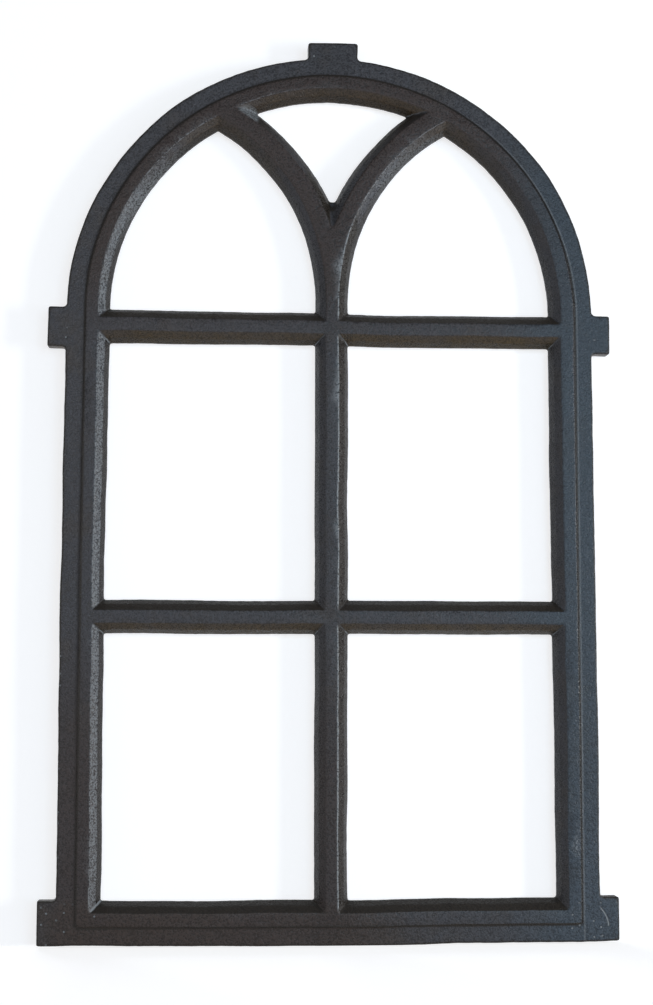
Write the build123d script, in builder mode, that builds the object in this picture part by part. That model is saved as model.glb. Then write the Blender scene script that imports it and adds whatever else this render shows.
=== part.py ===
"""Arched barn window: one sand-cast iron frame, four panes under gothic tracery, unglazed.

X runs to the right, Z up, and the moulded face looks towards -Y.
The origin is on the underside of the sill rail, in the middle of its length and of the depth.
"""

import os

from build123d import *

# Driving dimensions, millimetres

# Outside of the frame: a rectangle under a half circle
body_width = 468.0
arch_centre_height = 548.8
frame_depth = 20.0

# Section of the outer member, from the outside in
flange_width = 16.5
flange_step = 1.7
band_width = 11.2
step_corner_radius = 2.6
edge_radius = 1.2

# Moulding from the front of a band or bar: a splay, a steeper face and the lip at the opening
splay_width = 5.6
splay_depth = 5.2
steep_width = 3.7
steep_depth = 7.2
lip_thickness = 2.6
rebate_width = 9.8

# Glazing bars
bar_flat = 10.6
tracery_flat = 13.8
middle_bar_height = 280.4
upper_bar_height = 536.8

# Tracery arcs, which leave the mullion and meet the arch
tracery_radius = 178.0
tracery_rise = 14.7

# Rounding that the mould leaves at the foot of the crown light and in the corners of the panes
tip_radius = 3.6
pane_corner_radius = 1.7

# Lugs that are walled in: one on the crown, two at the springing, two at the foot
lug_thickness = 13.0
lug_reach = 16.2
crown_lug_reach = 14.8
crown_lug_width = 45.4
spring_lug_height = 35.0
spring_lug_drop = 14.8
foot_lug_height = 38.5
lug_root_radius = 3.4
lug_corner_radius = 1.8
crown_lug_corner_radius = 2.6

# How near to a line or a length a point or an edge counts as being on it
closeness = 0.1

# Sizes that follow

slope_width = splay_width + steep_width
slope_depth = splay_depth + steep_depth
body_half = body_width / 2
band_inset = flange_width + band_width
band_half = body_half - band_inset
opening_half = band_half - slope_width
rebate_depth = frame_depth - slope_depth - lip_thickness
flange_level = frame_depth - flange_step
lug_back_level = flange_level - lug_thickness
mullion_half = bar_flat / 2 + slope_width
tracery_width = tracery_flat + 2 * slope_width
tracery_centre_x = -(mullion_half + tracery_radius)
tracery_centre_height = arch_centre_height + tracery_rise
crown_height = arch_centre_height + body_half
width_over_lugs = body_width + 2 * lug_reach
spring_lug_centre = arch_centre_height - spring_lug_drop

# Planes: depth is measured forwards from the back of the frame

back = Plane(origin=(0, frame_depth / 2, 0), x_dir=(1, 0, 0), z_dir=(0, -1, 0))


def level(depth):
    """Plane parallel to the window, at a depth in front of its back."""
    return back.offset(depth)


def upright_section(height):
    """Plane across an upright member: x to the right, y towards the front."""
    return Plane(origin=(0, frame_depth / 2, height), x_dir=(1, 0, 0), z_dir=(0, 0, -1))


def level_section(start):
    """Plane across a horizontal member: x upwards, y towards the front."""
    return Plane(origin=(start, frame_depth / 2, 0), x_dir=(0, 0, 1), z_dir=(1, 0, 0))


def arched_area(inset):
    """Fill the outline of the body, moved inwards by inset."""
    half = body_half - inset
    with BuildLine() as outline:
        Polyline((-half, arch_centre_height), (-half, inset), (half, inset), (half, arch_centre_height))
        CenterArc((0, arch_centre_height), half, 0, 180)
    make_face(outline.edges())


def moulding_line():
    """Points down the moulding, as (distance from the flat, depth), to the back of the lip."""
    return [
        (0, frame_depth),
        (splay_width, frame_depth - splay_depth),
        (slope_width, frame_depth - slope_depth),
        (slope_width, rebate_depth),
    ]


def moulding_area(start):
    """Fill the section of the moulding that runs from start inwards to the opening."""
    front_and_lip = [(start + across, depth) for across, depth in moulding_line()]
    with BuildLine() as outline:
        Polyline(*front_and_lip, (start, rebate_depth), close=True)
    make_face(outline.edges())


def bar_area(centre, flat):
    """Fill the section of a glazing bar: flat front, a moulding each side and the web behind."""
    web_half = flat / 2 + slope_width - rebate_width
    half_bar = [(flat / 2 + across, depth) for across, depth in moulding_line()]
    half_bar += [(web_half, rebate_depth), (web_half, 0)]
    right_side = [(centre + across, depth) for across, depth in half_bar]
    left_side = [(centre - across, depth) for across, depth in reversed(half_bar)]
    with BuildLine() as outline:
        Polyline(*right_side, *left_side, close=True)
    make_face(outline.edges())


def is_side_lug_corner(corner):
    """True for a corner of the outline at the free end of a spring or foot lug."""
    return abs(corner.X) > body_half + lug_reach / 2


def is_crown_lug_corner(corner):
    """True for a corner of the outline at the free end of the crown lug."""
    return corner.Y > crown_height + crown_lug_reach / 2


def is_lug_root(corner):
    """True where a lug meets the body, and not where jamb and arch run smoothly together."""
    smooth = abs(corner.Y - arch_centre_height) < closeness
    return not (smooth or is_side_lug_corner(corner) or is_crown_lug_corner(corner))


def is_crown_light_tip(edge):
    """True for the front valley on the middle line, where the two arcs of the tracery part."""
    in_middle = all(abs(end.X) < closeness for end in edge.vertices())
    return in_middle and edge.center().Y < frame_depth / 2 - rebate_depth


def is_pane_corner(edge):
    """True for a corner of the lip round one of the four panes below the springing."""
    return abs(edge.length - lip_thickness) < closeness and edge.center().Z < arch_centre_height


# Left half of the tracery: a bar bent round an arc, from the mullion up into the band

with BuildPart() as left_tracery:
    with BuildSketch(upright_section(tracery_centre_height)):
        bar_area(tracery_centre_x + tracery_radius + tracery_width / 2, tracery_flat)
    revolve(
        axis=Axis((tracery_centre_x, 0, tracery_centre_height), (0, -1, 0)),
        revolution_arc=90,
    )
    with BuildSketch(back):
        arched_area(flange_width + band_width / 2)
        with Locations((body_half / 2, crown_height / 2)):
            Rectangle(body_half, crown_height, mode=Mode.SUBTRACT)
    extrude(amount=frame_depth, mode=Mode.INTERSECT)


# The casting: flange with its lugs, raised band, mouldings, bars and tracery

with BuildPart() as window_frame:
    # Flange
    with BuildSketch(back):
        arched_area(0)
    extrude(amount=flange_level)

    # Lugs, flush with the front of the flange
    with BuildSketch(level(lug_back_level)) as lug_plate:
        arched_area(0)
        with Locations((0, foot_lug_height / 2)):
            Rectangle(width_over_lugs, foot_lug_height)
        with Locations((0, spring_lug_centre)):
            Rectangle(width_over_lugs, spring_lug_height)
        with Locations((0, crown_height)):
            Rectangle(crown_lug_width, 2 * crown_lug_reach)
        fillet(lug_plate.vertices().filter_by(is_lug_root), lug_root_radius)
        fillet(lug_plate.vertices().filter_by(is_side_lug_corner), lug_corner_radius)
        fillet(lug_plate.vertices().filter_by(is_crown_lug_corner), crown_lug_corner_radius)
    extrude(amount=lug_thickness)
    fillet(window_frame.edges().group_by(Axis.Y)[0], edge_radius)

    # Raised band, with its lower corners rounded
    with BuildSketch(level(flange_level)) as band:
        arched_area(flange_width)
        fillet(band.vertices().group_by(Axis.Y)[0], step_corner_radius)
    extrude(amount=flange_step)

    # Clear the glazed area, and cut its rebate from behind
    with BuildSketch(back):
        arched_area(band_inset)
    extrude(amount=frame_depth, mode=Mode.SUBTRACT)
    with BuildSketch(back):
        arched_area(band_inset + slope_width - rebate_width)
    extrude(amount=rebate_depth, mode=Mode.SUBTRACT)

    # Moulding round the arch, down both jambs and along the sill
    with BuildSketch(upright_section(arch_centre_height)):
        moulding_area(-band_half)
    revolve(axis=Axis((0, 0, arch_centre_height), (0, 1, 0)), revolution_arc=180)
    with BuildSketch(upright_section(arch_centre_height)):
        moulding_area(-band_half)
        mirror(about=Plane.YZ)
    extrude(amount=arch_centre_height - band_inset)
    with BuildSketch(level_section(-band_half)):
        moulding_area(band_inset)
    extrude(amount=2 * band_half)

    # Mullion and the two horizontal bars
    with BuildSketch(upright_section(tracery_centre_height)):
        bar_area(0, bar_flat)
    extrude(amount=tracery_centre_height - band_inset)
    for bar_height in (middle_bar_height, upper_bar_height):
        with BuildSketch(level_section(-band_half)):
            bar_area(bar_height, bar_flat)
        extrude(amount=2 * band_half)

    # Tracery, both sides
    add(left_tracery.part)
    add(left_tracery.part.mirror(Plane.YZ))

    # Soft corners, as cast
    fillet(window_frame.edges().filter_by(is_crown_light_tip), tip_radius)
    fillet(window_frame.edges().filter_by(Axis.Y).filter_by(is_pane_corner), pane_corner_radius)

window_frame.part.label = "window_frame"

os.makedirs("parts", exist_ok=True)
export_step(window_frame.part, "parts/window_frame.step")
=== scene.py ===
"""Arched barn window: the looks of the sand-cast iron frame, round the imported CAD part.

The frame stands upright on its sill, X to the right, Z up, and its moulded face looks towards -Y.
"""

import math

import bmesh
import bpy
from mathutils import Matrix, Vector


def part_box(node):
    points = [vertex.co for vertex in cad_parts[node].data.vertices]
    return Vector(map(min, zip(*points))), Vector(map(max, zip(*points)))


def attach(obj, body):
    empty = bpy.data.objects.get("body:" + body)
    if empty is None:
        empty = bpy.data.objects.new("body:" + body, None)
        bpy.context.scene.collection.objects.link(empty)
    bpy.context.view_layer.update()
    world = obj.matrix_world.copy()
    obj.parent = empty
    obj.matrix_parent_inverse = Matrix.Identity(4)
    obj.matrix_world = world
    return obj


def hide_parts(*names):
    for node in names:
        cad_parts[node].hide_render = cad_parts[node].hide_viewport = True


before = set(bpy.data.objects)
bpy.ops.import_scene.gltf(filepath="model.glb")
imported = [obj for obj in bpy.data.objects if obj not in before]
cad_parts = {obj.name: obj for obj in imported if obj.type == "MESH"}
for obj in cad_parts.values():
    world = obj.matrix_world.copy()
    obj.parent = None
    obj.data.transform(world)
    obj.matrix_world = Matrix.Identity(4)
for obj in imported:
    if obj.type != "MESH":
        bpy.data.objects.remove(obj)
cad_low, cad_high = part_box("window_frame")
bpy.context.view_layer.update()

bl_info = {
    "name": "Arched barn window",
    "version": (1, 0, 0),
    "blender": (4, 5, 0),
    "location": "View3D > Sidebar > Barn window",
    "description": "Cast-iron barn window frame with its casting surface, finish and plain studio",
    "category": "Object",
}


# Sizes and colours that a user would change


class CastingSettings(bpy.types.PropertyGroup):
    """Surface of the iron casting."""

    surface_step: bpy.props.FloatProperty(
        name="Surface step",
        description="Spacing of the fine surface laid over the casting before it is thinned",
        default=0.0008,
        min=0.0004,
        max=0.003,
        unit="LENGTH",
    )
    triangles: bpy.props.IntProperty(
        name="Triangles",
        description="About how many triangles the finished surface keeps",
        default=185000,
        min=20000,
        max=195000,
    )
    edge_softening: bpy.props.IntProperty(
        name="Edge softening",
        description="Smoothing passes that round the arrises and fill the mitres as the mould did",
        default=1,
        min=0,
        max=10,
    )
    wander: bpy.props.FloatProperty(
        name="Wander",
        description="How far the members stray from a true line",
        default=0.0007,
        min=0,
        max=0.003,
        unit="LENGTH",
    )
    wander_length: bpy.props.FloatProperty(
        name="Wander length",
        description="Length along a member over which it strays and comes back",
        default=0.07,
        min=0.01,
        max=0.5,
        unit="LENGTH",
    )
    ripple: bpy.props.FloatProperty(
        name="Ripple",
        description="Short unevenness of the arrises",
        default=0.00016,
        min=0,
        max=0.001,
        unit="LENGTH",
    )
    ripple_length: bpy.props.FloatProperty(
        name="Ripple length",
        description="Spacing of the short unevenness",
        default=0.007,
        min=0.002,
        max=0.05,
        unit="LENGTH",
    )
    left_bow: bpy.props.FloatProperty(
        name="Left bow",
        description="How far the left jamb bends outwards at half its height",
        default=0.0013,
        min=0,
        max=0.005,
        unit="LENGTH",
    )
    right_bow: bpy.props.FloatProperty(
        name="Right bow",
        description="How far the right jamb bends inwards below the springing",
        default=0.0014,
        min=0,
        max=0.005,
        unit="LENGTH",
    )
    sill_bow: bpy.props.FloatProperty(
        name="Sill bow",
        description="How far the ends of the sill lift",
        default=0.0016,
        min=0,
        max=0.005,
        unit="LENGTH",
    )
    seed: bpy.props.IntProperty(
        name="Seed",
        description="Another number gives another casting from the same pattern",
        default=7,
        min=0,
    )


class IronSettings(bpy.types.PropertyGroup):
    """Colours of the blackened iron."""

    black: bpy.props.FloatVectorProperty(
        name="Black iron",
        description="Colour of the blackened flats",
        default=(0.041, 0.040, 0.045),
        min=0,
        max=1,
        size=3,
        subtype="COLOR",
    )
    # Brown also paints the warm light that undersides take from below, besides thin rust
    brown: bpy.props.FloatVectorProperty(
        name="Brown bloom",
        description="Colour of the thin rust that shows through, most on undersides",
        default=(0.056, 0.035, 0.013),
        min=0,
        max=1,
        size=3,
        subtype="COLOR",
    )
    # Also the colour of the painted highlights: the lit splays, mitres, right-facing arrises, the tracery's
    # head and the line beside the step
    wear_and_highlight: bpy.props.FloatVectorProperty(
        name="Worn arris",
        description="Colour of the iron where an edge is rubbed bare",
        default=(0.24, 0.25, 0.26),
        min=0,
        max=1,
        size=3,
        subtype="COLOR",
    )
    umber: bpy.props.FloatVectorProperty(
        name="Umber",
        description="Colour of the browner places: the raised arch, the lower left and the sill",
        default=(0.033, 0.0215, 0.018),
        min=0,
        max=1,
        size=3,
        subtype="COLOR",
    )
    # Slate paints the bluish sheen of cool light from the right on the right jamb
    slate: bpy.props.FloatVectorProperty(
        name="Slate",
        description="Colour of the bluer black on the right jamb",
        default=(0.026, 0.0445, 0.062),
        min=0,
        max=1,
        size=3,
        subtype="COLOR",
    )
    # Dark colour of the painted shade on upward and right-facing slopes, in corners and along the band's
    # step, and of the dark outer rim
    shade_and_rim_dark: bpy.props.FloatVectorProperty(
        name="Dirt",
        description="Colour of the soot, and of what settles in the corners",
        default=(0.015, 0.011, 0.008),
        min=0,
        max=1,
        size=3,
        subtype="COLOR",
    )


class StageSettings(bpy.types.PropertyGroup):
    """Floor, white sheet, light and camera."""

    sheet_gap: bpy.props.FloatProperty(
        name="Sheet gap",
        description="Space between the back of the frame and the white sheet",
        default=0.0015,
        min=0.0002,
        max=0.5,
        unit="LENGTH",
    )
    sheet_width: bpy.props.FloatProperty(
        name="Sheet width",
        description="Width of the white sheet behind the frame",
        default=2.4,
        min=0.6,
        max=10,
        unit="LENGTH",
    )
    sheet_height: bpy.props.FloatProperty(
        name="Sheet height",
        description="Height of the white sheet behind the frame",
        default=1.7,
        min=0.9,
        max=10,
        unit="LENGTH",
    )
    white: bpy.props.FloatVectorProperty(
        name="White",
        description="Colour of the floor and the sheet",
        default=(0.42, 0.43, 0.46),
        min=0,
        max=1,
        size=3,
        subtype="COLOR",
    )
    key_power: bpy.props.FloatProperty(
        name="Key power",
        description="Power of the narrow lamp far to the right",
        default=38,
        min=0,
        unit="POWER",
    )
    right_power: bpy.props.FloatProperty(
        name="Right power",
        description="Power of the broad lamp in front, a little to the right",
        default=16,
        min=0,
        unit="POWER",
    )
    left_power: bpy.props.FloatProperty(
        name="Left power",
        description="Power of the broad lamp in front, a little to the left",
        default=8,
        min=0,
        unit="POWER",
    )
    side_power: bpy.props.FloatProperty(
        name="Side power",
        description="Power of the broad lamp far to the left",
        default=8,
        min=0,
        unit="POWER",
    )
    low_power: bpy.props.FloatProperty(
        name="Low power",
        description="Power of the long low lamp on the right",
        default=8,
        min=0,
        unit="POWER",
    )
    back_power: bpy.props.FloatProperty(
        name="Back power",
        description="Power of the broad lamp behind the sheet, which lights the back of the frame",
        default=40,
        min=0,
        unit="POWER",
    )
    sky: bpy.props.FloatProperty(
        name="Sky",
        description="Strength of the pale surroundings as they are seen",
        default=0.5,
        min=0,
        max=5,
    )
    camera_place: bpy.props.FloatVectorProperty(
        name="Camera place",
        description="Where the camera stands",
        default=(-0.09859, -1.41080, 0.24557),
        size=3,
        unit="LENGTH",
        subtype="TRANSLATION",
    )
    camera_turn: bpy.props.FloatProperty(
        name="Camera turn",
        description="How far the camera looks to the right",
        default=math.radians(3.820),
        subtype="ANGLE",
    )
    camera_tilt: bpy.props.FloatProperty(
        name="Camera tilt",
        description="How far the camera looks up",
        default=math.radians(5.496),
        subtype="ANGLE",
    )
    camera_roll: bpy.props.FloatProperty(
        name="Camera roll",
        description="How far the camera leans",
        default=math.radians(-0.115),
        subtype="ANGLE",
    )
    camera_lens: bpy.props.FloatProperty(
        name="Lens",
        description="Focal length on a sensor 24 mm high",
        default=38.44,
        min=10,
        max=300,
        unit="CAMERA",
    )


# Nodes written as expressions


class Term:
    """A value socket that takes part in Python arithmetic; each operation adds its Math node."""

    def __init__(self, nodes, socket):
        self.nodes = nodes
        self.socket = socket

    def math(self, operation, *others):
        inputs = {i: other for i, other in enumerate((self, *others))}
        return self.nodes.value(self.nodes.math_node, {"operation": operation}, inputs)

    def __add__(self, other):
        return self.math("ADD", other)

    def __radd__(self, other):
        return self.math("ADD", other)

    def __sub__(self, other):
        return self.math("SUBTRACT", other)

    def __rsub__(self, other):
        return self.nodes.value(self.nodes.math_node, {"operation": "SUBTRACT"}, {0: other, 1: self})

    def __mul__(self, other):
        return self.math("MULTIPLY", other)

    def __rmul__(self, other):
        return self.math("MULTIPLY", other)

    def __truediv__(self, other):
        return self.math("DIVIDE", other)

    def __rtruediv__(self, other):
        return self.nodes.value(self.nodes.math_node, {"operation": "DIVIDE"}, {0: other, 1: self})

    def __pow__(self, other):
        return self.math("POWER", other)

    def __neg__(self):
        return self.math("MULTIPLY", -1.0)

    def __abs__(self):
        return self.math("ABSOLUTE")

    def at_least(self, other):
        return self.math("MAXIMUM", other)

    def at_most(self, other):
        return self.math("MINIMUM", other)

    def between(self, low, high):
        """0 up to low, 1 from high, and smooth between them; high may be the lower one."""
        settings = {"interpolation_type": "SMOOTHSTEP"}
        if low > high:
            return 1.0 - self.between(high, low)
        inputs = {"Value": self, "From Min": low, "From Max": high}
        return self.nodes.value("ShaderNodeMapRange", settings, inputs)

    def near(self, line, half, fade):
        """1 up to half on either side of a line, falling to 0 over the fade beyond it."""
        above = self.between(line - half - fade, line - half)
        below = self.between(line + half + fade, line + half)
        return above * below


class Nodes:
    """Adds nodes to one tree."""

    math_node = "ShaderNodeMath"

    def __init__(self, tree):
        self.tree = tree

    def add(self, kind, settings=None, inputs=None):
        """Any node: its type, its settings, then the values or links of its sockets."""
        node = self.tree.nodes.new(kind)
        for name, value in (settings or {}).items():
            setattr(node, name, value)
        for name, value in (inputs or {}).items():
            if isinstance(value, Term):
                value = value.socket
            if isinstance(value, bpy.types.NodeSocket):
                self.tree.links.new(value, node.inputs[name])
            else:
                node.inputs[name].default_value = value
        return node

    def value(self, kind, settings=None, inputs=None, output=0):
        """Any node, and one of its outputs as a term."""
        return Term(self, self.add(kind, settings, inputs).outputs[output])

    def noise(self, where, size, detail, roughness=0.6):
        """Noise from 0 to 1 whose patches are about size across."""
        inputs = {"Vector": where, "Scale": 1 / size, "Detail": detail, "Roughness": roughness}
        return self.value("ShaderNodeTexNoise", {"noise_dimensions": "3D"}, inputs)

    def mix(self, factor, first, second):
        """Mix two colours."""
        inputs = {0: factor, 6: first, 7: second}
        return self.add("ShaderNodeMix", {"data_type": "RGBA"}, inputs).outputs[2]

    def seen(self):
        """1 for what the camera sees itself, in a reflection or through glass, and 0 for other light."""
        path = self.add("ShaderNodeLightPath").outputs
        camera, glossy, glass = (
            Term(self, path[name]) for name in ("Is Camera Ray", "Is Glossy Ray", "Is Transmission Ray")
        )
        return (camera + glossy + glass).at_most(1.0)

    def scaled(self, colour, factor):
        """A colour made lighter or darker by a factor."""
        inputs = {0: colour, "Scale": factor}
        return self.add("ShaderNodeVectorMath", {"operation": "SCALE"}, inputs).outputs[0]


def new_material(name):
    """An empty material and a maker for its nodes."""
    material = bpy.data.materials.new(name)
    material.use_nodes = True
    material.node_tree.nodes.clear()
    return material, Nodes(material.node_tree)


def rgba(colour):
    """A colour with full alpha, as colour sockets take it."""
    return (*colour, 1.0)


# Finishes


# Lines and places that the finish follows, in metres
FRONT = -cad_low.y
ARCH_CENTRE = 0.5488
STEP_LINE = 0.21775
SILL_STEP_LINE = 0.01625
LIGHT_LINE = 0.21965
TRACERY_HEAD = (-0.0757, 0.7285)
SCRATCH_CENTRE = (0.2180, 0.0137)
SCRATCH_RADIUS = 0.0228


class Skin:
    """What the finish knows about a point of the casting: its place, facing, edges and grain."""

    def __init__(self, n):
        where = n.add("ShaderNodeTexCoord").outputs["Object"]
        place = n.add("ShaderNodeSeparateXYZ", inputs={0: where}).outputs
        normal = n.add("ShaderNodeNewGeometry").outputs["Normal"]
        facing = n.add("ShaderNodeSeparateXYZ", inputs={0: normal}).outputs
        self.across, self.depth, self.height = (Term(n, output) for output in place)
        self.right = Term(n, facing[0])
        self.front = -Term(n, facing[1])
        self.up = Term(n, facing[2])
        self.underside = (-self.up).between(0.30, 0.85)
        self.tops = self.up.between(0.30, 0.60)
        self.mullion = abs(self.across).between(0.020, 0.012)

        # How far out: from the middle of the window, and above the springing from the arch's centre
        over_arch = (self.height - ARCH_CENTRE).at_least(0.0)
        self.outward = (self.across * self.across + over_arch * over_arch) ** 0.5

        # Above 0 in a corner and below 0 on an arris
        self.edge = n.value("ShaderNodeAttribute", {"attribute_name": "edge"}, output=2)
        self.corner = self.edge.between(0.10, 0.26)

        self.clouds = n.noise(where, 0.06, 3.0, 0.5)
        self.patches = n.noise(where, 0.018, 3.0)
        self.mottle = n.noise(where, 0.005, 3.0)
        self.grain = n.noise(where, 0.0015, 1.0).between(0.36, 0.64)
        self.fine = n.noise(where, 0.0007, 2.0)

    def away_from(self, point):
        """Distance from a point of the front, given as (across, height)."""
        aside = self.across - point[0]
        above = self.height - point[1]
        return (aside * aside + above * above) ** 0.5


def iron_colour(n, skin, colours):
    """Black iron: brown bloom, partly rust and partly painted warm light from below on the undersides, umber
    arch, foot and sill, and a painted bluish sheen on the right jamb.
    """
    uneven = (skin.patches - 0.5) * 0.7 + (skin.clouds - 0.5) * 0.7
    sill = skin.height.between(0.045, 0.030) * skin.across.between(0.10, 0.0)
    # Brown on the undersides is painted warm light reflected from below; the patches are rust
    bloom_and_warm_light = skin.underside * 0.9 + sill * 0.3 + uneven
    colour = n.mix(bloom_and_warm_light.at_least(0.0).at_most(1.0), rgba(colours.black), rgba(colours.brown))

    # Raised is the front's foremost millimetre
    raised = (-skin.depth).between(FRONT - 0.0012, FRONT - 0.0004)
    arch = raised * skin.height.between(0.50, 0.60)
    # The crown's undersides turn umber as painted warm light from below
    crown = skin.underside * skin.height.between(0.60, 0.70)
    foot = skin.height.between(0.30, 0.14) * (-skin.across).between(-0.03, -0.01)
    less_on_lug = 0.45 + skin.across.between(-0.250, -0.225) * 0.55
    warm = (foot * 0.7).at_least(sill * 0.8) * less_on_lug
    warm = warm.at_least(arch * 0.85).at_least(crown * 0.35)
    colour = n.mix(warm, colour, rgba(colours.umber))

    # Painted sheen: the right jamb's flats bluer, and lighter towards its foot, as cool light from the right
    # reflects in them
    right_jamb = skin.across.between(0.13, 0.21) * skin.front.between(0.8, 0.9)
    colour = n.mix(right_jamb * 0.52, colour, rgba(colours.slate))
    lighter_foot = right_jamb * skin.height.between(0.14, 0.04) * 0.22
    return n.scaled(colour, 1.0 + lighter_foot - skin.mullion * 0.12)


def shade_and_speckle(n, skin, colours, colour):
    """Painted shade on what faces up, on steep faces that face right and on the mullion's right slopes,
    painted shade on the inner steep faces, and the speckle of the sand.
    """
    steep = skin.front.between(0.66, 0.50)
    faces_right = skin.right.between(0.3, 0.6)
    mullion_right = faces_right * abs(skin.across).between(0.026, 0.020)
    # Painted shade: faces that look up, steep faces that look right and the mullion's right slopes darkened
    painted_shade = (mullion_right + steep * faces_right * 0.75 + skin.tops).at_most(1.0)
    colour = n.mix(painted_shade, colour, rgba(colours.shade_and_rim_dark))
    # Painted shade: the inner steep faces by the openings darker
    inner = steep * skin.front.between(0.20, 0.35)
    speckle = skin.mottle.between(0.30, 0.70) * 0.2 + skin.grain * 0.5 + skin.fine.between(0.35, 0.65) * 0.4
    return n.scaled(colour, (0.45 + speckle) * (1.0 - inner * 0.35))


def splays_highlit(n, skin, colours, colour):
    """Painted highlight, speckled with the grain, over the splays of the left jamb and the right tracery
    arc, where light from the right falls.
    """
    jamb = skin.right.between(0.45, 0.62) * skin.right.between(0.86, 0.78)
    jamb = jamb * (-skin.across).between(0.12, 0.17)
    arc = skin.right.between(0.35, 0.55) * (-skin.up).between(0.05, 0.20)
    arc = arc * skin.height.between(0.635, 0.675) * skin.across.between(0.0, 0.02)
    # Painted highlight in the light grey of the worn colour
    splay_highlight = jamb.at_least(arc * 0.6) * (0.04 + skin.grain * 0.62)
    return n.mix(splay_highlight, colour, rgba(colours.wear_and_highlight))


def shade_lined(n, skin, colours, colour):
    """Painted shade in the corners and along the step of the band, and a thin painted highlight line beside
    it.
    """
    half = 0.00055
    fade = 0.0012
    ring = skin.outward.near(STEP_LINE, half, fade) * skin.height.between(0.015, 0.018)
    sill = skin.height.near(SILL_STEP_LINE, half, fade) * abs(skin.across).between(0.218, 0.216)
    step = ring.at_least(sill)
    # Painted shade: corners and the band's step darkened, where light is shut out
    corner_and_step_shade = skin.corner.at_least(step * skin.front.between(0.2, 0.5))
    colour = n.mix(corner_and_step_shade * 0.85, colour, rgba(colours.shade_and_rim_dark))
    # Painted shade: the step darker still where it faces right
    colour = n.scaled(colour, 1.0 - step * skin.right.between(0.05, 0.4) * 0.75)
    # Painted highlight: a thin light line on the flange beside the step
    beside = skin.outward.near(LIGHT_LINE, 0.00035, 0.00055) * skin.across.between(0.10, 0.18)
    return n.mix(beside * skin.front.between(0.8, 0.9) * 0.28, colour, rgba(colours.wear_and_highlight))


def rubbed_and_highlit(n, skin, colours, colour):
    """Arrises rubbed to bare iron and brightened as painted highlight where they face right, painted
    highlights in the mitres and on the left tracery's head, and a dark outer rim.
    """
    uneven = (skin.mottle * 0.7 + skin.grain * 0.3 + skin.mullion * 0.1).between(0.35, 0.60)
    # Wear and painted highlight: arrises facing right, the mullion's most, lightened
    arris = (skin.mullion * 0.035 - skin.edge).between(0.09, 0.18) * uneven
    arris = arris * skin.right.between(-0.05, 0.3) * skin.outward.between(0.215, 0.212)
    left_arc = skin.height.between(0.58, 0.60) * skin.outward.between(0.196, 0.190)
    left_arc = left_arc * skin.across.between(0.005, -0.005)
    colour = n.mix(arris * (1.0 - left_arc * 0.9), colour, rgba(colours.wear_and_highlight))

    # Painted highlight: the facet at the left tracery's head, lit from the right
    head = skin.away_from(TRACERY_HEAD).between(0.0115, 0.0075) * skin.right.between(0.10, 0.35)
    colour = n.mix(head * (0.2 + skin.grain * 0.6), colour, rgba(colours.wear_and_highlight))

    outside = skin.outward.between(0.225, 0.230).at_least(skin.height.between(0.006, 0.003))
    rim = (-skin.edge).between(0.05, 0.12) * outside
    colour = n.mix(rim * 0.7, colour, rgba(colours.shade_and_rim_dark))

    # Painted highlights: the filled mitres below the bars and by the sill catch the light
    sill_mitre = skin.up.between(0.08, 0.30) * skin.right.between(0.08, 0.30)
    sill_mitre = sill_mitre * skin.height.between(0.060, 0.050) * (-skin.across).between(0.10, 0.15)
    sill_mitre = sill_mitre * skin.edge.between(0.05, 0.16)
    mitres = skin.corner * (-skin.up).between(0.25, 0.45) * abs(skin.right).between(0.25, 0.45)
    return n.mix((mitres + sill_mitre).at_most(1.0) * 0.85, colour, rgba(colours.wear_and_highlight))


def nicks(n, skin, spacing, radius):
    """Small round nicks scattered over the front, one in a few of its cells, from 0 to 1."""
    share = 0.20
    front_place = n.add("ShaderNodeCombineXYZ", inputs={0: skin.across, 1: skin.height}).outputs[0]
    cells = n.add(
        "ShaderNodeTexVoronoi",
        {"voronoi_dimensions": "2D", "feature": "F1"},
        {"Vector": front_place, "Scale": 1 / spacing},
    ).outputs
    away = Term(n, cells["Distance"]) * spacing
    draw = n.value("ShaderNodeSeparateColor", inputs={0: cells["Color"]})
    return away.between(radius, radius * 0.5) * draw.between(share, share * 0.8)


def scars(n, skin):
    """A curved scratch on the right foot lug, and nicks on the lugs and the ends of the sill."""
    waver = (skin.mottle - 0.5) * 0.0006
    scratch = abs(skin.away_from(SCRATCH_CENTRE) + waver - SCRATCH_RADIUS).between(0.0010, 0.0004)
    scratch = scratch * skin.height.between(0.0140, 0.0160) * skin.across.between(0.2330, 0.2350)
    sill_ends = skin.height.between(0.040, 0.030) * abs(skin.across).between(0.185, 0.195)
    lugs = skin.outward.between(0.2320, 0.2340)
    nicked = (nicks(n, skin, 0.0065, 0.0012) * sill_ends).at_least(nicks(n, skin, 0.009, 0.0013) * lugs)
    return scratch.at_least(nicked) * skin.front.between(0.9, 0.98)


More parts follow.
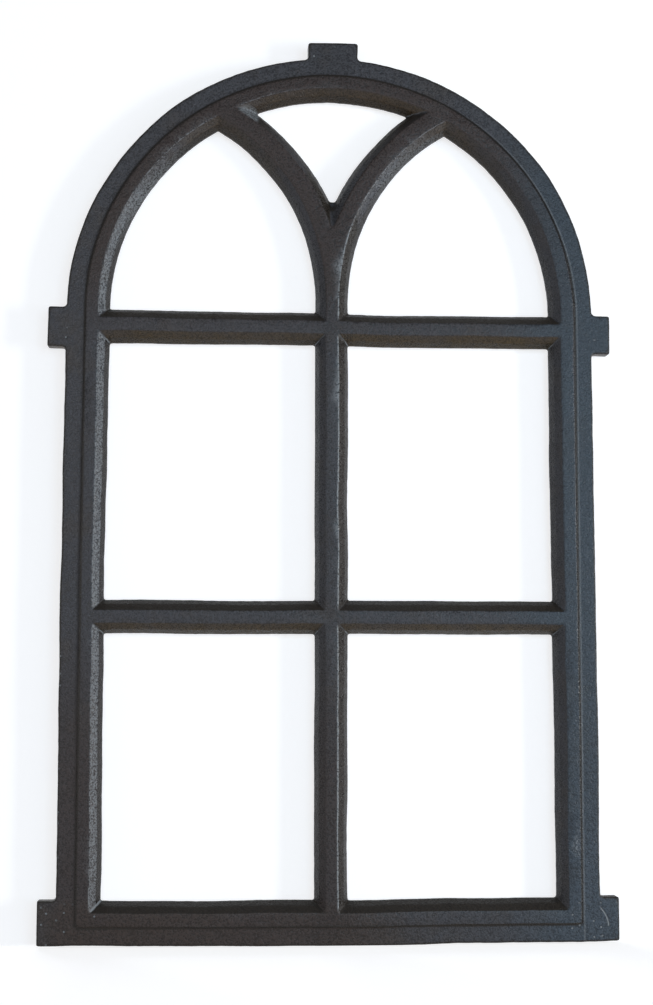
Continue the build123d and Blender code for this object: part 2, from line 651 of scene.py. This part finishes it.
def blackened_iron(colours):
    """Sand-cast iron, blackened: grain, brown bloom with painted warm light on undersides, painted sheen,
    painted shade on upward faces and in corners, painted highlights, and rubbed arrises.
    """
    material, n = new_material("blackened_iron")
    skin = Skin(n)
    colour = iron_colour(n, skin, colours)
    for layer in (shade_and_speckle, splays_highlit, shade_lined, rubbed_and_highlit):
        colour = layer(n, skin, colours, colour)
    scar = scars(n, skin)
    colour = n.mix(scar * 0.8, colour, rgba(colours.wear_and_highlight))

    uneven = (skin.mottle - 0.5) * 0.2 + (skin.grain - 0.5) * 0.2
    roughness = 0.33 + uneven + skin.corner * 0.3 + skin.tops * 0.25
    slopes = skin.front.between(0.95, 0.6)
    relief = skin.mottle * 0.8 + skin.grain * (0.25 + slopes * 0.2) + skin.fine * 0.2 - scar * 1.5
    bump = n.add("ShaderNodeBump", inputs={"Strength": 1.0, "Distance": 0.0005, "Height": relief})
    shader = n.add(
        "ShaderNodeBsdfPrincipled",
        inputs={
            "Base Color": colour,
            "Roughness": roughness,
            "Metallic": 0.0,
            "Specular IOR Level": 0.25,
            "Normal": bump.outputs[0],
        },
    )
    n.add("ShaderNodeOutputMaterial", inputs={"Surface": shader.outputs[0]})
    return material


def white_sheet(name, colour, glow):
    """Matt white that takes the frame's shadow, and lets the frame be seen from behind."""
    material, n = new_material(name)
    seen = n.seen()
    behind = n.value("ShaderNodeNewGeometry", output="Backfacing")
    matt = n.add("ShaderNodeBsdfDiffuse", inputs={"Color": rgba(colour)})
    lit = n.add("ShaderNodeEmission", inputs={"Color": (1, 1, 1, 1), "Strength": seen * glow})
    both = n.add("ShaderNodeAddShader", inputs={0: matt.outputs[0], 1: lit.outputs[0]})
    clear = n.add("ShaderNodeBsdfTransparent")
    shadow = n.value("ShaderNodeLightPath", output="Is Shadow Ray")
    shown = n.add(
        "ShaderNodeMixShader",
        inputs={0: behind.at_least(shadow), 1: both.outputs[0], 2: clear.outputs[0]},
    )
    n.add("ShaderNodeOutputMaterial", inputs={"Surface": shown.outputs[0]})
    return material


# The casting


def merged_copy(name, node_name):
    """A copy of a CAD node with its triangles joined."""
    surface = bmesh.new()
    surface.from_mesh(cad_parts[node_name].data)
    bmesh.ops.remove_doubles(surface, verts=surface.verts, dist=1e-6)
    mesh = bpy.data.meshes.new(name)
    surface.to_mesh(mesh)
    surface.free()
    piece = bpy.data.objects.new(name, mesh)
    bpy.context.scene.collection.objects.link(piece)
    return piece


def cast_surface_tree(material):
    """Geometry Nodes: soften the arrises, note where they are, then bow, stray and ripple."""
    tree = bpy.data.node_groups.new("cast_surface", "GeometryNodeTree")
    sockets = tree.interface
    strays = ("Wander", "Wander Length", "Ripple", "Ripple Length")
    bows = ("Left Bow", "Right Bow", "Sill Bow")
    kinds = {
        "NodeSocketGeometry": ("Geometry",),
        "NodeSocketFloat": strays + bows,
        "NodeSocketInt": ("Edge Softening", "Seed"),
        "NodeSocketVector": ("Lowest", "Highest"),
    }
    for kind, names in kinds.items():
        for name in names:
            sockets.new_socket(name, in_out="INPUT", socket_type=kind)
    sockets.new_socket("Geometry", in_out="OUTPUT", socket_type="NodeSocketGeometry")

    n = Nodes(tree)
    given = n.add("NodeGroupInput").outputs
    place = n.add("GeometryNodeInputPosition").outputs[0]
    normal = n.add("GeometryNodeInputNormal").outputs[0]
    seed = Term(n, given["Seed"])

    def blurred(iterations):
        settings = {"data_type": "FLOAT_VECTOR"}
        inputs = {"Value": place, "Iterations": iterations}
        node = n.add("GeometryNodeBlurAttribute", settings, inputs)
        return next(output for output in node.outputs if output.enabled)

    def vector(operation, *parts):
        node = n.add("ShaderNodeVectorMath", {"operation": operation}, dict(enumerate(parts)))
        return node.outputs[1 if operation == "DOT_PRODUCT" else 0]

    softened = {"Geometry": given["Geometry"], "Position": blurred(given["Edge Softening"])}
    soft = n.add("GeometryNodeSetPosition", inputs=softened)

    # How far a blur lifts a point off the surface, in millimetres: above 0 in a corner
    edge_blur = 5
    millimetres = 1000.0
    hollow = vector("DOT_PRODUCT", vector("SUBTRACT", blurred(edge_blur), place), normal)
    edge = Term(n, hollow) * millimetres
    noted = n.add(
        "GeometryNodeStoreNamedAttribute",
        {"data_type": "FLOAT", "domain": "POINT"},
        {"Geometry": soft.outputs[0], "Name": "edge", "Value": edge},
    )

    # Noise mostly stays within a quarter of its middle, so this many times it reaches the amount
    noise_reach = 4.0

    def stray(amount, length, detail, shift):
        inputs = {"Vector": place, "W": seed + shift, "Scale": 1.0 / Term(n, length), "Detail": detail}
        noise = n.add("ShaderNodeTexNoise", {"noise_dimensions": "4D"}, inputs)
        centred = vector("SUBTRACT", noise.outputs["Color"], (0.5, 0.5, 0.5))
        return n.scaled(centred, Term(n, amount) * noise_reach)

    offset = vector(
        "ADD",
        stray(given["Wander"], given["Wander Length"], 1.0, 0.0),
        stray(given["Ripple"], given["Ripple Length"], 2.0, 10.0),
    )
    stands = n.add("ShaderNodeSeparateXYZ", inputs={0: place}).outputs
    across = Term(n, stands[0])
    height = Term(n, stands[2])
    left = (-across).between(0.08, 0.20) * height.between(0.02, 0.28) * height.between(0.54, 0.30)
    right = across.between(0.08, 0.20) * height.between(0.20, 0.45) * height.between(0.66, 0.50)
    low = abs(across).between(0.05, 0.25) * height.between(0.06, 0.0)
    sideways = left * Term(n, given["Left Bow"]) + right * Term(n, given["Right Bow"])
    upwards = low * Term(n, given["Sill Bow"])
    bow = n.add("ShaderNodeCombineXYZ", inputs={0: sideways, 2: upwards}).outputs[0]
    half_in_depth = (1.0, 0.5, 1.0)
    moved = vector("ADD", vector("ADD", place, bow), vector("MULTIPLY", offset, half_in_depth))
    kept = vector("MINIMUM", vector("MAXIMUM", moved, given["Lowest"]), given["Highest"])
    strayed = n.add("GeometryNodeSetPosition", inputs={"Geometry": noted.outputs[0], "Position": kept})
    smooth = n.add("GeometryNodeSetShadeSmooth", inputs={"Geometry": strayed.outputs[0]})
    real = n.add("GeometryNodeRealizeInstances", inputs={"Geometry": smooth.outputs[0]})
    dressed = n.add("GeometryNodeSetMaterial", inputs={"Geometry": real.outputs[0], "Material": material})
    n.add("NodeGroupOutput", inputs={0: dressed.outputs[0]})
    return tree


def set_inputs(modifier, values):
    """Set a Geometry Nodes modifier's inputs, given by their names."""
    for item in modifier.node_group.interface.items_tree:
        if item.in_out == "INPUT" and item.name in values:
            modifier[item.identifier] = values[item.name]


def made_plain(piece):
    """Make the mesh that the modifiers show the piece's own, and remove them."""
    shown = piece.evaluated_get(bpy.context.evaluated_depsgraph_get())
    mesh = bpy.data.meshes.new_from_object(shown)
    mesh.name = piece.name
    piece.modifiers.clear()
    piece.data = mesh


class BARN_OT_casting(bpy.types.Operator):
    """Lay the casting's surface over the frame: soft arrises, slight wander, grain and finish."""

    bl_idname = "barn_window.casting"
    bl_label = "Casting"

    def execute(self, context):
        sizes = context.scene.barn_casting
        finish = blackened_iron(context.scene.barn_iron)
        piece = merged_copy("casting", "window_frame")

        fine = piece.modifiers.new("fine_surface", "REMESH")
        fine.mode = "VOXEL"
        fine.voxel_size = sizes.surface_step * 1

        surface = piece.modifiers.new("cast_surface", "NODES")
        surface.node_group = cast_surface_tree(finish)
        set_inputs(
            surface,
            {
                "Wander": sizes.wander,
                "Wander Length": sizes.wander_length,
                "Ripple": sizes.ripple,
                "Ripple Length": sizes.ripple_length,
                "Left Bow": -sizes.left_bow,
                "Right Bow": -sizes.right_bow,
                "Sill Bow": sizes.sill_bow,
                "Edge Softening": sizes.edge_softening,
                "Seed": sizes.seed,
                "Lowest": cad_low,
                "Highest": cad_high,
            },
        )
        made_plain(piece)
        piece.data.calc_loop_triangles()
        thin = piece.modifiers.new("thin", "DECIMATE")
        thin.ratio = min(1.0, sizes.triangles / len(piece.data.loop_triangles))
        made_plain(piece)
        for point in piece.data.vertices:
            limits = zip(point.co, cad_low, cad_high)
            point.co = [min(max(value, low), high) for value, low, high in limits]

        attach(piece, "root")
        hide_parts("window_frame")
        return {"FINISHED"}


# The stage

LAMP_AIM = Vector((0, 0, 0.4))
LAMP_DISTANCE = 2.6
COOL_WHITE = (0.97, 0.99, 1.0)
WARM_WHITE = (1.0, 0.98, 0.97)
WINDOW_BLUE = (0.58, 0.82, 1.0)
PALE_BLUE = (0.93, 0.97, 1.0)
SKY_BLUE = (0.90, 0.95, 1.0)


def plane(name, corners, material):
    """One flat face that belongs to the stage."""
    mesh = bpy.data.meshes.new(name)
    mesh.from_pydata(corners, [], [(0, 1, 2, 3)])
    mesh.materials.append(material)
    piece = bpy.data.objects.new(name, mesh)
    bpy.context.scene.collection.objects.link(piece)
    return piece


def soft_lamp(name, turn, rise, size, power, colour):
    """An area lamp that faces the window: turn to the right of its front, and rise, in degrees."""
    data = bpy.data.lights.new(name, "AREA")
    data.shape = "RECTANGLE"
    data.size, data.size_y = size
    data.energy = power
    data.color = colour
    lamp = bpy.data.objects.new(name, data)
    turn = math.radians(turn)
    rise = math.radians(rise)
    level = math.cos(rise)
    away = Vector((math.sin(turn) * level, -math.cos(turn) * level, math.sin(rise)))
    lamp.location = LAMP_AIM + LAMP_DISTANCE * away
    lamp.rotation_euler = (-away).to_track_quat("-Z", "Y").to_euler()
    bpy.context.scene.collection.objects.link(lamp)
    return lamp


class BARN_OT_stage(bpy.types.Operator):
    """Set up the plain floor, the white sheet, the soft light and the camera."""

    bl_idname = "barn_window.stage"
    bl_label = "Stage"

    def execute(self, context):
        scene = context.scene
        stage = scene.barn_stage

        half = stage.sheet_width / 2
        back = cad_high.y + stage.sheet_gap
        top = stage.sheet_height
        floor = -0.0004
        reach = 12.0
        sheet_glow = 0.74
        floor_glow = 0.82
        plane(
            "white_backdrop",
            [(-half, back, floor), (half, back, floor), (half, back, top), (-half, back, top)],
            white_sheet("sheet_white", stage.white, sheet_glow),
        )
        plane(
            "pale_floor",
            [(-reach, -reach, floor), (reach, -reach, floor), (reach, reach, floor), (-reach, reach, floor)],
            white_sheet("floor_white", stage.white, floor_glow),
        )

        narrow = (0.25, 0.8)
        tall = (1.0, 1.2)
        soft_lamp("key", 62, -1, narrow, stage.key_power, COOL_WHITE)
        soft_lamp("right_front", 20, 8, tall, stage.right_power, WINDOW_BLUE)
        soft_lamp("left_front", -15, 9, tall, stage.left_power, WARM_WHITE)
        soft_lamp("left_side", -60, 0, (1.2, 1.2), stage.side_power, WARM_WHITE)
        soft_lamp("back", 200, 20, (1.6, 1.6), stage.back_power, COOL_WHITE)
        soft_lamp("low_right", 45, -7.5, (1.6, 0.2), stage.low_power, PALE_BLUE)

        world = bpy.data.worlds.new("studio")
        world.use_nodes = True
        world.node_tree.nodes.clear()
        n = Nodes(world.node_tree)
        fill = 0.02
        strength = fill + n.seen() * (stage.sky - fill)
        sky = n.add("ShaderNodeBackground", inputs={0: rgba(SKY_BLUE), 1: strength})
        n.add("ShaderNodeOutputWorld", inputs={0: sky.outputs[0]})
        scene.world = world

        data = bpy.data.cameras.new("camera")
        sensor_height = 24.0
        data.sensor_fit = "VERTICAL"
        data.sensor_height = sensor_height
        data.lens = stage.camera_lens
        camera = bpy.data.objects.new("camera", data)
        camera.matrix_world = (
            Matrix.Translation(stage.camera_place)
            @ Matrix.Rotation(-stage.camera_turn, 4, "Z")
            @ Matrix.Rotation(stage.camera_tilt, 4, "X")
            @ Matrix.Rotation(stage.camera_roll, 4, "Y")
            @ Matrix.Rotation(math.pi / 2, 4, "X")
        )
        scene.collection.objects.link(camera)
        scene.camera = camera
        scene.view_settings.view_transform = "Standard"
        return {"FINISHED"}


class BARN_PT_window(bpy.types.Panel):
    """Barn window pieces and settings."""

    bl_label = "Barn window"
    bl_idname = "BARN_PT_window"
    bl_space_type = "VIEW_3D"
    bl_region_type = "UI"
    bl_category = "Barn window"

    def draw(self, context):
        layout = self.layout
        for group in (context.scene.barn_casting, context.scene.barn_iron, context.scene.barn_stage):
            for name in group.bl_rna.properties.keys():
                if name not in ("rna_type", "name"):
                    layout.prop(group, name)
        layout.operator("barn_window.casting")
        layout.operator("barn_window.stage")


CLASSES = (
    CastingSettings,
    IronSettings,
    StageSettings,
    BARN_OT_casting,
    BARN_OT_stage,
    BARN_PT_window,
)


def register():
    for kind in CLASSES:
        bpy.utils.register_class(kind)
    bpy.types.Scene.barn_casting = bpy.props.PointerProperty(type=CastingSettings)
    bpy.types.Scene.barn_iron = bpy.props.PointerProperty(type=IronSettings)
    bpy.types.Scene.barn_stage = bpy.props.PointerProperty(type=StageSettings)


def unregister():
    del bpy.types.Scene.barn_stage
    del bpy.types.Scene.barn_iron
    del bpy.types.Scene.barn_casting
    for kind in reversed(CLASSES):
        bpy.utils.unregister_class(kind)


def main():
    register()
    bpy.ops.barn_window.casting()
    bpy.ops.barn_window.stage()


if __name__ == "__main__":
    main()
